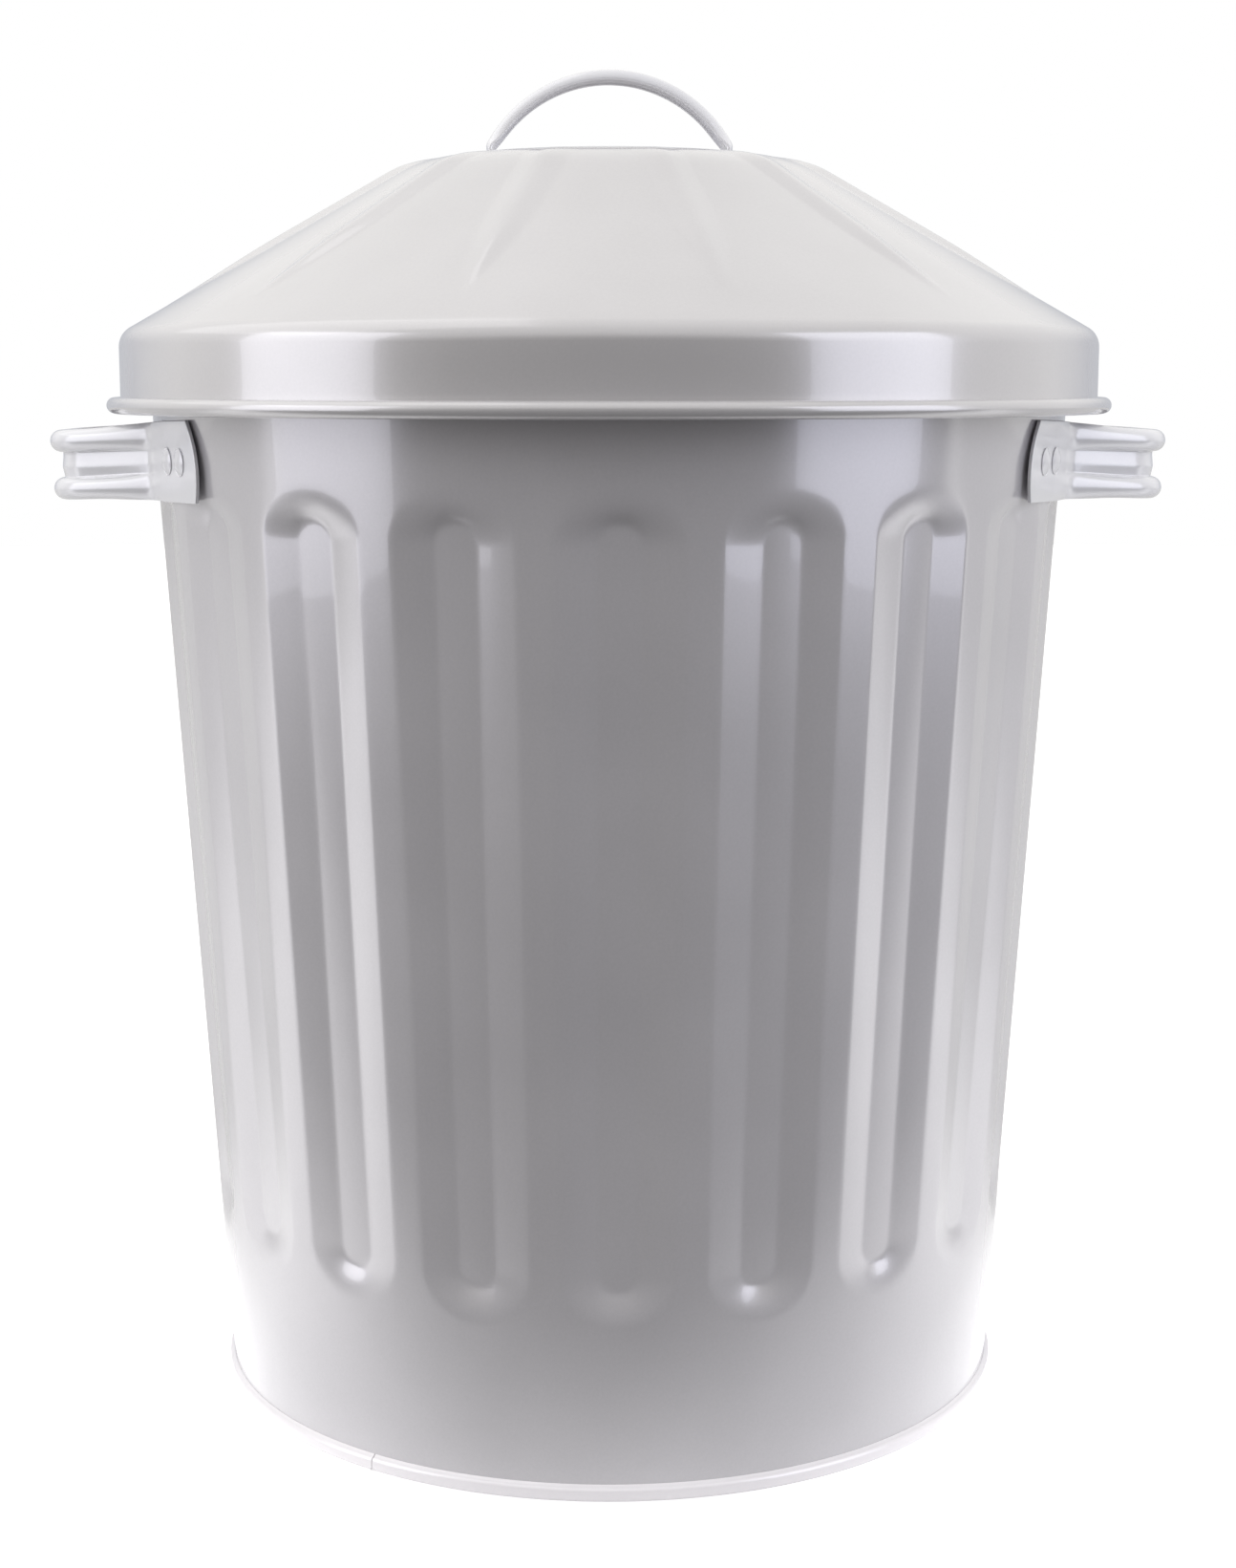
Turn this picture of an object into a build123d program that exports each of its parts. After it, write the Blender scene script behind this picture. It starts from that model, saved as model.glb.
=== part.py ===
from build123d import *
import math
import os

# A small traditional round dustbin in enamelled sheet steel: a tapered, fluted body with two
# riveted strap handles and a clamped foot hoop, and a loose conical lid with a bow handle.
# Frame: origin at the centre of the foot circle on the floor, +Z up, -Y to the front (the
# middle flute), handles to +X and -X. Millimetres and degrees.

# ---- sheet and fits --------------------------------------------------------------------------
sheet = 0.6                  # body, pan and lid steel
seam_gap = 0.05              # between sheets that are pressed or clamped together
rivet_clearance = 0.05       # radial, around a rivet shank

# ---- body ------------------------------------------------------------------------------------
body_height = 321.6          # floor to the top of the rolled rim
foot_radius = 119.55         # outside of the wall, projected to the floor
mouth_radius = 138.45        # outside of the wall at the rim wire
rim_wire_diameter = 3.2
curl_open_angle = 40.0       # part of the turn left open where a rolled edge ends

flute_count = 19
flute_pitch = 18.6           # between flute centres; what is left over is the seam land
flute_floor_half_angle = 2.5
flute_edge_half_angle = 7.25
flute_depth = 2.5
flute_floor_bottom = 60.0    # where the flat floor of a flute ends, above the floor
flute_top_margin = 51.6      # from the top of the rim down to where the floor ends
flute_end_slope_length = 11.0
flute_end_roundness = 0.9    # 1 would make the floor's ends full half circles

seam_width = 8.0             # lock seam down the middle of the back
seam_height = 0.9
seam_end_gap = 1.0           # between the seam's top and the rolled rim

pan_rise = 7.0               # top of the bottom pan above its flange's edge
hoop_sheet = 0.8
hoop_ledge = 1.95            # how far the hoop stands out past the foot of the wall
hoop_height = 4.6
hoop_lip_drop = 1.7          # how far below its top the hoop starts to lean onto the wall
hoop_lip_edge = 0.25         # width of the hoop's top edge
hoop_edge_radius = 1.0
hoop_joint_angle = -35.0     # from the front towards -X
hoop_joint_gap = 0.5

# ---- lid -------------------------------------------------------------------------------------
lid_clearance = 3.3          # between the rolled rim and the inside of the skirt
lid_seat_gap = 0.1           # between the rolled rim and the underside of the cone
lid_slope = 29.9
lid_crown_radius = 56.1      # where cone and crown would meet with no rounding
lid_crown_rounding = 43.0
lid_shoulder_rounding = 6.5
lid_skirt_drop = 20.6        # sharp shoulder down to the wire in the lid's edge
lid_wire_diameter = 3.4

rib_count = 12
rib_phase = 12.35            # first rib, from the front towards +X
rib_height = 1.3
rib_width = 14.0
rib_start_inside = 4.1       # how far inside the crown's edge a rib starts
rib_end_inside = 15.25       # how far inside the skirt a rib ends
rib_crest_half_width = 1.2
rib_root_depth = 0.5         # how far the rib's root reaches below the cone's surface
rib_root_overrun = 2.0       # the root runs on past both ends, and the crest stops short
rib_crest_setback = 6.0
rib_point_length = 30.8      # of the pointed lower end

# ---- side handles ----------------------------------------------------------------------------
handle_strap = 1.0           # strap thickness
handle_headroom = 1.52       # between the lid's edge and the strap's ends
plate_angle = 64.5           # where a strap end touches the wall, from the front
plate_height = 23.0
plate_front_length = 20.0    # from the touching line to the strap's end
plate_rear_length = 18.0     # from the touching line to the start of the bend
plate_corner_radius = 5.0
plate_overlap = 1.0          # the formed strap starts this far before the bend
handle_stand_out = 30.29     # outermost face of the grip, from the wall at the handle's height
handle_arm_angle = 30.0      # of the arm, from straight out towards the back
handle_bend_radius = 10.0
handle_corner_radius = 14.0
grip_height = 20.5
bead_radius = 3.25
bead_proud = 3.5             # bead above the face between the beads
side_rivet_pitch = 11.4
side_rivet_head_radius = 4.0
side_rivet_shank_radius = 2.0

# ---- lid handle ------------------------------------------------------------------------------
bow_strap = 1.2
bow_radius = 42.0            # outside
bow_rise = 25.7              # top of the bow above the crown
bow_width = 17.0
bow_edge_depth = 2.8         # the turned-under edges, with the strap
foot_reach = 15.0            # inner end of a foot, from the middle of the lid
foot_rivet_places = (21.0, 31.0)
lid_rivet_head_radius = 3.6
lid_rivet_shank_radius = 1.9

rivet_head_height = 1.3
rivet_tail_height = 0.8
rivet_tail_extra = 1.2       # tail radius beyond the shank


# ---- worked out ------------------------------------------------------------------------------
rim_curl_radius = rim_wire_diameter / 2 + seam_gap + sheet
rim_height = body_height - rim_curl_radius
wall_taper = (mouth_radius - foot_radius) / rim_height
wall_lean = math.degrees(math.atan(wall_taper))
wall_foot = hoop_sheet + seam_gap
rim_radius = mouth_radius + seam_gap + rim_wire_diameter / 2
flute_floor_top = body_height - flute_top_margin
hoop_radius = foot_radius + hoop_ledge

slope_cos = math.cos(math.radians(lid_slope))
slope_tan = math.tan(math.radians(lid_slope))
skirt_radius = rim_radius + rim_curl_radius + lid_clearance + sheet
shoulder_height = (
    rim_height + (rim_curl_radius + lid_seat_gap + sheet) / slope_cos
    - (skirt_radius - rim_radius) * slope_tan
)
crown_height = shoulder_height + (skirt_radius - lid_crown_radius) * slope_tan
lid_wire_height = shoulder_height - lid_skirt_drop
lid_wire_radius = skirt_radius + seam_gap + lid_wire_diameter / 2
lid_curl_radius = lid_wire_diameter / 2 + seam_gap + sheet
rib_inner_radius = lid_crown_radius - rib_start_inside
rib_outer_radius = skirt_radius - rib_end_inside
bow_centre_height = crown_height + bow_rise - bow_radius
handle_centre_height = lid_wire_height - lid_curl_radius - handle_headroom - plate_height / 2


def wall_radius(height):
    """Outside radius of the plain wall at a height."""
    return foot_radius + wall_taper * height


handle_reach = wall_radius(handle_centre_height) + handle_stand_out
past = 1.0                   # how far a cutting tool runs on past what it cuts
tool_length = 12.0           # of the drills for rivet holes


def around(azimuth, part):
    """Turn a part made at the front to an azimuth, positive towards +X."""
    return Rot(0, 0, azimuth) * part


def spun(*points):
    """Solid of revolution about Z from (radius, height) corners."""
    outline = make_face(Polyline(*[(radius, 0, height) for radius, height in points], close=True))
    return revolve(outline, Axis.Z)


def wire_ring(radius, height, diameter):
    return Pos(0, 0, height) * Torus(radius, diameter / 2)


def rolled_edge(radius, height, wire_diameter, open_from):
    """Sheet rolled round a wire, left open for curl_open_angle starting at open_from."""
    inner = wire_diameter / 2 + seam_gap
    outer = inner + sheet
    section = Circle(outer) - Circle(inner)
    reach = 2 * outer
    far_corners = [
        (reach * math.cos(math.radians(angle)), reach * math.sin(math.radians(angle)))
        for angle in (open_from, open_from + curl_open_angle)
    ]
    section -= make_face(Polyline((0, 0), *far_corners, close=True))
    frame = Plane(origin=(radius, 0, height), x_dir=(1, 0, 0), z_dir=(0, -1, 0))
    return revolve(frame * section, Axis.Z)


# ---- body shell ------------------------------------------------------------------------------
def wall_plane(height, azimuth=0.0):
    """Plane touching the wall: x round the wall towards +X, y up the wall, z outwards."""
    lean = math.radians(wall_lean)
    turn = math.radians(azimuth)
    radius = wall_radius(height)
    outwards = (
        math.sin(turn) * math.cos(lean), -math.cos(turn) * math.cos(lean), -math.sin(lean)
    )
    return Plane(
        origin=(radius * math.sin(turn), -radius * math.cos(turn), height),
        x_dir=(math.cos(turn), math.sin(turn), 0),
        z_dir=outwards,
    )


def flute_outline(level):
    """Rounded outline of the flute tool at a level above the touching plane."""
    lean_cos = math.cos(math.radians(wall_lean))
    middle = (flute_floor_bottom + flute_floor_top) / 2
    run = level + flute_depth
    end_run = run * flute_end_slope_length / flute_depth

    corners = []
    corner_radius = None
    for height, side in ((flute_floor_bottom, -1), (flute_floor_top, 1)):
        radius = wall_radius(height)
        floor_half = radius * math.sin(math.radians(flute_floor_half_angle))
        edge_half = radius * math.sin(math.radians(flute_edge_half_angle))
        edge_drop = radius - math.sqrt(radius ** 2 - edge_half ** 2)
        spread = (edge_half - floor_half) / (flute_depth - edge_drop)
        half = floor_half + run * spread
        along = (height - middle) / lean_cos + side * end_run
        corners.append((-side * half, along))
        corners.append((side * half, along))
        if corner_radius is None:
            corner_radius = flute_end_roundness * floor_half + end_run
    return fillet(make_face(Polyline(*corners, close=True)).vertices(), corner_radius)


def flute_tool(sunk):
    """Tool that presses one flute at the front, sunk inwards by a sheet where wanted."""
    middle = (flute_floor_bottom + flute_floor_top) / 2
    plane = wall_plane(middle)
    sections = [
        plane * (Pos(0, 0, level - sunk) * flute_outline(level))
        for level in (-flute_depth, past + sunk)
    ]
    return loft(sections, ruled=True)


def flute_azimuths():
    first = -(flute_count - 1) / 2 * flute_pitch
    return [first + number * flute_pitch for number in range(flute_count)]


def side_rivet_places():
    """(handle, end, place, plane) of every side rivet, the plane sitting on the wall."""
    places = []
    for handle, hand in (("left", -1), ("right", 1)):
        for end, azimuth in (("front", plate_angle), ("rear", 180 - plate_angle)):
            plate = wall_plane(handle_centre_height, hand * azimuth)
            outward = hand if end == "front" else -hand
            for place, shift in (("outer", outward), ("inner", -outward)):
                spot = plate * Pos(shift * side_rivet_pitch / 2, 0, 0)
                places.append((handle, end, place, Plane(spot)))
    return places


def body_shell():
    outside = spun(
        (0, wall_foot), (wall_radius(wall_foot), wall_foot), (mouth_radius, rim_height), (0, rim_height)
    )
    inside = spun(
        (0, wall_foot - past), (wall_radius(wall_foot - past) - sheet, wall_foot - past),
        (wall_radius(rim_height + past) - sheet, rim_height + past), (0, rim_height + past),
    )
    outer_tool, inner_tool = flute_tool(0), flute_tool(sheet)
    outside -= [around(azimuth, outer_tool) for azimuth in flute_azimuths()]
    inside -= [around(azimuth, inner_tool) for azimuth in flute_azimuths()]
    shell = outside - inside

    seam_bottom = hoop_height + 2 * seam_gap
    seam_top = rim_height - rim_curl_radius - seam_end_gap
    seam_cone = spun(
        (wall_radius(seam_bottom) - sheet / 2, seam_bottom),
        (wall_radius(seam_bottom) + seam_height, seam_bottom),
        (wall_radius(seam_top) + seam_height, seam_top),
        (wall_radius(seam_top) - sheet / 2, seam_top),
    )
    seam = seam_cone & Pos(0, mouth_radius, body_height / 2) * Box(seam_width, mouth_radius, body_height)
    shell += seam
    shell += rolled_edge(rim_radius, rim_height, rim_wire_diameter, 180)
    holes = [
        plane * Cylinder(side_rivet_shank_radius + rivet_clearance, tool_length)
        for handle, end, place, plane in side_rivet_places()
    ]
    return shell - holes


# ---- base ------------------------------------------------------------------------------------
def flange_radius(height):
    """Outside radius of the pan's flange, just inside the wall."""
    return wall_radius(height) - sheet - seam_gap


def base_pan():
    top = wall_foot + pan_rise
    return spun(
        (flange_radius(wall_foot), wall_foot), (flange_radius(top), top), (0, top), (0, top - sheet),
        (flange_radius(top - sheet) - sheet, top - sheet),
        (flange_radius(wall_foot) - sheet, wall_foot),
    )


def base_hoop():
    leg_outside = flange_radius(wall_foot) - sheet - seam_gap
    leg_inside = leg_outside - hoop_sheet
    leg_top = wall_foot + pan_rise - sheet - seam_gap
    lip_outside = wall_radius(hoop_height) + seam_gap
    lean_start = hoop_height - hoop_lip_drop
    face = make_face(Polyline(
        (leg_inside, 0, 0), (hoop_radius, 0, 0), (hoop_radius, 0, lean_start),
        (lip_outside + hoop_lip_edge, 0, hoop_height), (lip_outside, 0, hoop_height),
        (lip_outside, 0, hoop_height - hoop_sheet),
        (hoop_radius - hoop_sheet, 0, lean_start - hoop_lip_edge), (hoop_radius - hoop_sheet, 0, hoop_sheet),
        (leg_outside, 0, hoop_sheet), (leg_outside, 0, leg_top), (leg_inside, 0, leg_top),
        close=True,
    ))
    foot_corner = face.vertices().sort_by(lambda corner: (corner.X - hoop_radius) ** 2 + corner.Z ** 2)[0]
    hoop = revolve(fillet(foot_corner, hoop_edge_radius), Axis.Z)
    joint = Pos(0, -hoop_radius, leg_top / 2) * Box(hoop_joint_gap, tool_length, 2 * leg_top)
    return hoop - around(hoop_joint_angle, joint)


# ---- side handles ----------------------------------------------------------------------------
def strap_plate(azimuth, towards_rear):
    """Flat strap end that touches the wall; towards_rear is the side the strap goes on to."""
    length = plate_front_length + plate_rear_length
    middle = towards_rear * (plate_rear_length - length / 2)
    outline = Rectangle(length, plate_height)
    corners = outline.vertices().sort_by(Axis.X)
    free_end = corners[:2] if towards_rear > 0 else corners[2:]
    outline = fillet(free_end, plate_corner_radius)
    plate = wall_plane(handle_centre_height, azimuth)
    return plate * (Pos(middle, 0, seam_gap) * extrude(outline, handle_strap))


def grip_section():
    """Strap section: x outwards from the strap's inner face, y up."""
    bead_middle = grip_height / 2 - bead_radius
    bead_centre = handle_strap + bead_proud - bead_radius
    web = Pos(handle_strap / 2, 0) * Rectangle(
        handle_strap, 2 * (bead_middle - bead_radius + handle_strap)
    )
    section = web
    for side in (-1, 1):
        for radius, sign in ((bead_radius, 1), (bead_radius - handle_strap, -1)):
            flank = Pos(bead_centre / 2, side * bead_middle) * Rectangle(bead_centre, 2 * radius)
            bead = flank + Pos(bead_centre, side * bead_middle) * Circle(radius)
            bead &= Pos(grip_height / 2, 0) * Rectangle(grip_height, 2 * grip_height)
            section = section + bead if sign > 0 else section - bead
    return section + web


def right_handle():
    turn = math.radians(plate_angle)
    touch = wall_radius(handle_centre_height)
    touch_x, touch_y = touch * math.sin(turn), -touch * math.cos(turn)
    lean = math.atan(wall_taper * math.sin(turn))
    loop = Plane(
        origin=(touch_x, 0, handle_centre_height),
        x_dir=(math.cos(lean), 0, -math.sin(lean)),
        z_dir=(math.sin(lean), 0, math.cos(lean)),
    )
    along_plate = (math.cos(turn), math.sin(turn))
    out_of_plate = (math.sin(turn), -math.cos(turn))

    def on_plate(distance):
        return (
            distance * along_plate[0] + seam_gap * out_of_plate[0],
            touch_y + distance * along_plate[1] + seam_gap * out_of_plate[1],
        )

    bend = math.radians(plate_angle - handle_arm_angle) / 2
    start = on_plate(plate_rear_length - plate_overlap)
    knee = on_plate(plate_rear_length + handle_bend_radius * math.tan(bend))
    grip_face = handle_reach - touch_x - bead_proud - handle_strap
    corner = (grip_face, knee[1] + (grip_face - knee[0]) * math.tan(math.radians(handle_arm_angle)))
    route = [start, knee, corner]
    route += [(x, -y) for x, y in reversed(route)]
    radii = [handle_bend_radius, handle_corner_radius, handle_corner_radius, handle_bend_radius]
    path = loop * FilletPolyline(*route, radius=radii)

    start_point, start_way = path @ 0, path % 0
    out_way = start_way.cross(loop.z_dir)
    section_plane = Plane(origin=start_point, x_dir=out_way, z_dir=-start_way)
    strap = sweep(section_plane * grip_section(), path=path)

    for place, way in ((path @ 0, path % 0), (path @ 1, (path % 1))):
        outwards = way.cross(loop.z_dir)
        for side in (-1, 1):
            centre = (
                place + outwards * (handle_strap + bead_proud - bead_radius)
                + loop.z_dir * side * (grip_height / 2 - bead_radius)
            )
            keep = Plane(origin=place, x_dir=way, z_dir=outwards)
            half_space = keep * Pos(0, 0, grip_height) * Box(
                2 * grip_height, 2 * grip_height, 2 * grip_height
            )
            strap += (Pos(*centre) * Sphere(bead_radius)) & half_space
    strap += strap_plate(plate_angle, 1)
    strap += strap_plate(180 - plate_angle, -1)
    holes = [
        plane * Cylinder(side_rivet_shank_radius + rivet_clearance, tool_length)
        for handle, end, place, plane in side_rivet_places() if handle == "right"
    ]
    return strap - holes


def rivet(head_radius, shank_radius, head_seat, tail_seat):
    """Round-head rivet along Z: head on head_seat, upset tail against tail_seat."""
    dome = (head_radius ** 2 + rivet_head_height ** 2) / (2 * rivet_head_height)
    head = Pos(0, 0, head_seat + rivet_head_height - dome) * Sphere(dome)
    head &= Pos(0, 0, head_seat + rivet_head_height / 2) * Cylinder(head_radius, rivet_head_height)
    tail_radius = shank_radius + rivet_tail_extra
    shank_low = tail_seat - rivet_tail_height / 2
    shank_high = head_seat + rivet_head_height / 3
    shank = Pos(0, 0, (shank_low + shank_high) / 2) * Cylinder(shank_radius, shank_high - shank_low)
    tail = Pos(0, 0, tail_seat - rivet_tail_height / 2) * Cylinder(tail_radius, rivet_tail_height)
    return head + shank + tail


def side_rivets():
    """Every side rivet by its node name."""
    tail_radius = side_rivet_shank_radius + rivet_tail_extra
    wall_inside = wall_radius(handle_centre_height) - sheet
    edge = side_rivet_pitch / 2 + tail_radius
    wall_drop = wall_inside - math.sqrt(wall_inside ** 2 - edge ** 2) + sheet
    one = rivet(
        side_rivet_head_radius, side_rivet_shank_radius,
        handle_strap + 2 * seam_gap, -wall_drop - seam_gap,
    )
    return {
        f"rivet_{handle}_{end}_{place}": plane * one
        for handle, end, place, plane in side_rivet_places()
    }


# ---- lid -------------------------------------------------------------------------------------
def lid_form(inset):
    """Solid inside a lid surface that lies inset below the lid's outside."""
    top = crown_height - inset
    side = skirt_radius - inset
    drop = inset / slope_cos
    shoulder = shoulder_height + inset * slope_tan - drop
    crown = side - (top - shoulder) / slope_tan
    low = lid_wire_height - (past if inset else 0)
    face = make_face(Polyline(
        (0, 0, low), (side, 0, low), (side, 0, shoulder), (crown, 0, top), (0, 0, top), close=True
    ))
    for radius, height, rounding in (
        (side, shoulder, lid_shoulder_rounding), (crown, top, lid_crown_rounding)
    ):
        spot = face.vertices().sort_by(
            lambda corner: (corner.X - radius) ** 2 + (corner.Z - height) ** 2
        )[0]
        face = fillet(spot, rounding - inset)
    return revolve(face, Axis.Z)


def rib_form(sunk):
    """One raised rib at the front, sunk by a sheet where wanted, no higher than the crown."""
    slope = math.radians(lid_slope)
    start_height = shoulder_height + (skirt_radius - rib_inner_radius) * slope_tan
    # x across the rib, y up the cone, z out of the cone
    plane = Plane(
        origin=(0, -rib_inner_radius, start_height), x_dir=(1, 0, 0),
        z_dir=(0, -math.sin(slope), math.cos(slope)),
    )
    length = (rib_outer_radius - rib_inner_radius) / slope_cos
    low, high = -length + rib_point_length, -rib_width

    def outline(half, level, trim):
        corners = [
            (-half / 2, -trim), (-half, high), (-half, low), (-half / 4, -length + trim),
            (half / 4, -length + trim), (half, low), (half, high), (half / 2, -trim),
        ]
        return plane * (Pos(0, 0, level - sunk) * make_face(Polyline(*corners, close=True)))

    rise = rib_height + rib_root_depth
    spread = (rib_width / 2 - rib_crest_half_width) * rib_root_depth / rib_height
    root = outline(rib_width / 2 + spread, -rib_root_depth, -rib_root_overrun)
    crest = outline(rib_crest_half_width, rise - rib_root_depth, rib_crest_setback)
    return loft([root, crest], ruled=True)


def lid_rivet_spots():
    return [
        (name, side * place)
        for name, side in (("left", -1), ("right", 1))
        for place in foot_rivet_places
    ]


def lid_shell():
    turns = [rib_phase + number * 360 / rib_count for number in range(rib_count)]
    below_crown = Pos(0, 0, crown_height / 2) * Cylinder(2 * skirt_radius, crown_height)
    below_inner_crown = Pos(0, 0, -sheet) * below_crown
    outer_rib = rib_form(0) & below_crown
    inner_rib = rib_form(sheet) & below_inner_crown
    outside = lid_form(0) + [around(turn, outer_rib) for turn in turns]
    inside = lid_form(sheet) + [around(turn, inner_rib) for turn in turns]
    shell = outside - inside
    shell += rolled_edge(lid_wire_radius, lid_wire_height, lid_wire_diameter, 180 - curl_open_angle)
    holes = [
        Pos(spot, 0, crown_height) * Cylinder(lid_rivet_shank_radius + rivet_clearance, tool_length)
        for name, spot in lid_rivet_spots()
    ]
    return shell - holes


def lid_handle():
    seat = crown_height + seam_gap
    foot_top = seat + bow_strap
    bow_end = math.sqrt(bow_radius ** 2 - (seat - bow_centre_height) ** 2)
    frame = Plane(origin=(0, bow_width / 2, 0), x_dir=(1, 0, 0), z_dir=(0, -1, 0))
    above = Pos(0, seat + bow_radius) * Rectangle(4 * bow_radius, 2 * bow_radius)
    above_foot = Pos(0, foot_top + bow_radius) * Rectangle(4 * bow_radius, 2 * bow_radius)
    centre = Pos(0, bow_centre_height)

    bow = centre * (Circle(bow_radius) - Circle(bow_radius - bow_strap)) & above
    for side in (-1, 1):
        middle = side * (foot_reach + bow_end) / 2
        bow += Pos(middle, seat + bow_strap / 2) * Rectangle(bow_end - foot_reach, bow_strap)
    strap = extrude(frame * bow, bow_width)

    edge = centre * (Circle(bow_radius) - Circle(bow_radius - bow_edge_depth)) & above_foot
    near_edge = extrude(frame * edge, bow_strap)
    strap += near_edge
    strap += Pos(0, -(bow_width - bow_strap), 0) * near_edge
    holes = [
        Pos(spot, 0, seat) * Cylinder(lid_rivet_shank_radius + rivet_clearance, tool_length)
        for name, spot in lid_rivet_spots()
    ]
    return strap - holes


def lid_rivets():
    """Every lid rivet by its node name."""
    one = rivet(
        lid_rivet_head_radius, lid_rivet_shank_radius,
        bow_strap + 2 * seam_gap, -sheet - seam_gap,
    )
    rivets = {}
    for name, spot in lid_rivet_spots():
        place = "inner" if abs(spot) == min(foot_rivet_places) else "outer"
        rivets[f"lid_rivet_{name}_{place}"] = Pos(spot, 0, crown_height) * one
    return rivets


# ---- all pieces ------------------------------------------------------------------------------
right = right_handle()
pieces = {
    "body_shell": body_shell(),
    "rim_wire": wire_ring(rim_radius, rim_height, rim_wire_diameter),
    "base_pan": base_pan(),
    "base_hoop": base_hoop(),
    "left_handle": mirror(right, about=Plane.YZ),
    "right_handle": right,
    **side_rivets(),
    "lid_shell": lid_shell(),
    "lid_rim_wire": wire_ring(lid_wire_radius, lid_wire_height, lid_wire_diameter),
    "lid_handle": lid_handle(),
    **lid_rivets(),
}

os.makedirs("parts", exist_ok=True)
for node, piece in pieces.items():
    solids = piece.solids()
    shape = solids[0] if len(solids) == 1 else Compound(children=list(solids))
    export_step(shape, f"parts/{node}.step")
    print(node, len(solids), round(sum(solid.volume for solid in solids), 1))
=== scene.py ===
import math

import bmesh
import bpy
from mathutils import Matrix, Vector


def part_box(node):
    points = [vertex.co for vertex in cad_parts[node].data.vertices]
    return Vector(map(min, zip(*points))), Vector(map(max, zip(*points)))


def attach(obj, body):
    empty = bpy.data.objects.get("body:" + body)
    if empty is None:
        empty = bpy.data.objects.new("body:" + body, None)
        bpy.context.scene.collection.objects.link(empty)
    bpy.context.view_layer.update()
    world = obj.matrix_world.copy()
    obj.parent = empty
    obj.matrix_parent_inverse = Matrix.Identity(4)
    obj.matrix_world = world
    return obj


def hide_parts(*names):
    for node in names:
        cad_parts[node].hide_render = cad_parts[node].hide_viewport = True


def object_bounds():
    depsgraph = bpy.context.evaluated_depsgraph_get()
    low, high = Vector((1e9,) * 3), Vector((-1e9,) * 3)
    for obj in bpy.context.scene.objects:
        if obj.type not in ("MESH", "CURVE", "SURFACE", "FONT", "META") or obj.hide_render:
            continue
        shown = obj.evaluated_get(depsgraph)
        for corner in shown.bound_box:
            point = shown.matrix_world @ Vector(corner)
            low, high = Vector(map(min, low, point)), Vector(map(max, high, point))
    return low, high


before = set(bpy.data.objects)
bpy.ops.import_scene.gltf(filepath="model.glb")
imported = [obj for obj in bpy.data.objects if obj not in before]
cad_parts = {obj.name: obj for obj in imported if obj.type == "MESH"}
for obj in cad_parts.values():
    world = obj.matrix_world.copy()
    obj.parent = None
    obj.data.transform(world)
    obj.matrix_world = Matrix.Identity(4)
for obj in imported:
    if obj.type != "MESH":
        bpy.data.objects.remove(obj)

cad_low, cad_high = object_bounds()

# Lengths are metres, as in the frame, and MM turns millimetres into them. Azimuths are degrees
# from the front of the bin (-Y), growing towards +X.
MM = 0.001

# ---- sizes that the pieces share -------------------------------------------------------------
SHEET = 0.6 * MM             # wall and lid steel
SEAM_GAP = 0.05 * MM         # between sheets pressed together
SIDE_STRAP = 1.0 * MM        # thickness of the side handles
BOW_STRAP = 1.2 * MM         # thickness of the lid handle


def ring_of(node):
    """Middle radius, height and wire radius of a ring of wire."""
    low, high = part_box(node)
    wire = (high.z - low.z) / 2
    return high.x - wire, (low.z + high.z) / 2, wire


RIM_RADIUS, RIM_HEIGHT, RIM_WIRE = ring_of("rim_wire")
LID_WIRE_RADIUS, LID_WIRE_HEIGHT, LID_WIRE = ring_of("lid_rim_wire")
MOUTH_RADIUS = RIM_RADIUS - RIM_WIRE - SEAM_GAP
SKIRT_RADIUS = LID_WIRE_RADIUS - LID_WIRE - SEAM_GAP
CROWN_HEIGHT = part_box("lid_shell")[1].z
HOOP_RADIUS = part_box("base_hoop")[1].x
WALL_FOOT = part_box("body_shell")[0].z

# the pan's flange lies inside the wall, so its top gives the wall's radius low down
pan_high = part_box("base_pan")[1]
WALL_TAPER = (MOUTH_RADIUS - pan_high.x - SHEET - SEAM_GAP) / (RIM_HEIGHT - pan_high.z)
WALL_LEAN = math.atan(WALL_TAPER)


def wall_radius(height):
    """Outside radius of the plain wall at a height."""
    return MOUTH_RADIUS - WALL_TAPER * (RIM_HEIGHT - height)


# ---- camera ----------------------------------------------------------------------------------
def make_camera():
    data = bpy.data.cameras.new("camera")
    data.lens = 57.66
    data.clip_start, data.clip_end = 0.01, 50
    camera = bpy.data.objects.new("camera", data)
    bpy.context.scene.collection.objects.link(camera)
    turn, drop = math.radians(1.35), math.radians(9.19)
    looks = Vector((
        math.sin(turn) * math.cos(drop), math.cos(turn) * math.cos(drop), -math.sin(drop)
    ))
    camera.location = (-0.0156, -0.7740, 0.3066)
    camera.rotation_mode = "QUATERNION"
    camera.rotation_quaternion = looks.to_track_quat("-Z", "Y")
    bpy.context.scene.camera = camera


make_camera()


# ---- materials -------------------------------------------------------------------------------
def linear(hex_colour):
    """sRGB hex colour as linear RGBA."""
    channels = [int(hex_colour[at:at + 2], 16) / 255 for at in (1, 3, 5)]
    return [
        value / 12.92 if value <= 0.04045 else ((value + 0.055) / 1.055) ** 2.4
        for value in channels
    ] + [1.0]


def add_node(tree, kind, settings=None, **links):
    """Adds a node, sets its properties and inputs, and links the named inputs."""
    node = tree.nodes.new(kind)
    for name, value in (settings or {}).items():
        if isinstance(name, int) or name in node.inputs:
            node.inputs[name].default_value = value
        else:
            setattr(node, name, value)
    for name, source in links.items():
        tree.links.new(source, node.inputs[name.replace("_", " ")])
    return node


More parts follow.
